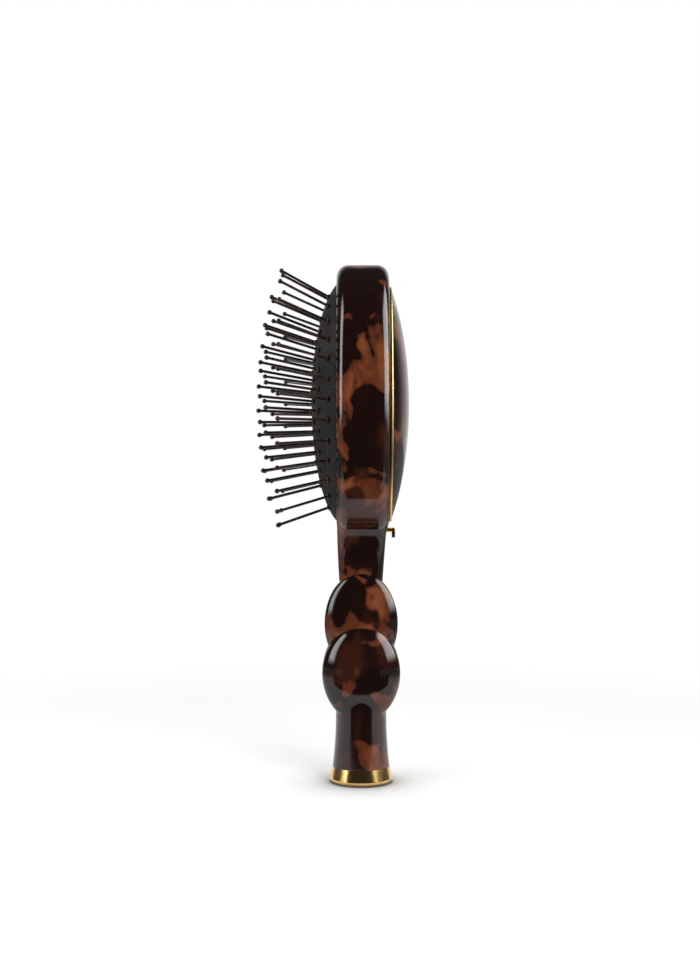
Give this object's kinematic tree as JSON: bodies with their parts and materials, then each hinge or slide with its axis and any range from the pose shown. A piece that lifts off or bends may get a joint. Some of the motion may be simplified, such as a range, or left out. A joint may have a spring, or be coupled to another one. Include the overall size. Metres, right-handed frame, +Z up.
{
  "type": "detangling brush",
  "caption": "Standing detangling brush: oval air-cushion head with ball-tipped pins, domed back cover, trim ring, neck hook and a two-bulb handle on a weighted round foot.",
  "frame": {"origin": "centre of the foot pad's underside, on the surface that the brush stands on", "axes": "+Z up along the handle, +X towards the domed back, -X the way the pins point, Y across the head"},
  "size_m": [0.0688, 0.0736, 0.232],
  "materials": {
    "tortoiseshell": "polished tortoiseshell-look acetate",
    "gold": "polished yellow-gold plate",
    "cushion_rubber": "matt charcoal rubber with a fine woven grain",
    "pin_nylon": "glossy black-brown nylon",
    "hoop_plastic": "black moulded plastic",
    "steel": "zinc-plated steel",
    "insert_brass": "turned brass",
    "ballast_iron": "plain iron",
    "foot_rubber": "black rubber"
  },
  "bodies": {
    "brush_body": {"back_cover": "tortoiseshell", "cover_screws": "steel", "cushion_hoop": "hoop_plastic", "cushion_pad": "cushion_rubber", "foot_ballast": "ballast_iron", "foot_cap": "gold", "foot_pad": "foot_rubber", "head_shell": "tortoiseshell", "lower_bulb_stem": "tortoiseshell", "neck_hook": "gold", "neck_insert": "insert_brass", "rod_nut": "steel", "rod_washer": "steel", "tie_rod": "steel", "trim_ring": "gold", "upper_bulb": "tortoiseshell"},
    "pin_field": {"centre_pin_01": "pin_nylon", "centre_pin_02": "pin_nylon", "centre_pin_03": "pin_nylon", "centre_pin_04": "pin_nylon", "outer_pins_01": "pin_nylon", "outer_pins_02": "pin_nylon", "outer_pins_03": "pin_nylon", "outer_pins_04": "pin_nylon", "outer_pins_05": "pin_nylon", "outer_pins_06": "pin_nylon", "outer_pins_07": "pin_nylon", "outer_pins_08": "pin_nylon", "outer_pins_09": "pin_nylon", "outer_pins_10": "pin_nylon", "outer_pins_11": "pin_nylon", "outer_pins_12": "pin_nylon", "outer_pins_13": "pin_nylon", "second_pins_01": "pin_nylon", "second_pins_02": "pin_nylon", "second_pins_03": "pin_nylon", "second_pins_04": "pin_nylon", "second_pins_05": "pin_nylon", "second_pins_06": "pin_nylon", "second_pins_07": "pin_nylon", "second_pins_08": "pin_nylon", "second_pins_09": "pin_nylon", "second_pins_10": "pin_nylon", "third_pins_01": "pin_nylon", "third_pins_02": "pin_nylon", "third_pins_03": "pin_nylon", "third_pins_04": "pin_nylon", "third_pins_05": "pin_nylon", "third_pins_06": "pin_nylon", "third_pins_07": "pin_nylon"}
  },
  "joints": [
    {"name": "cushion_press", "type": "slide", "parent": "brush_body", "child": "pin_field", "axis": [1, 0, 0], "range_m": [0, 0.003], "stiffness_N_per_m": 1500, "deforming": ["cushion_pad"]}
  ]
}
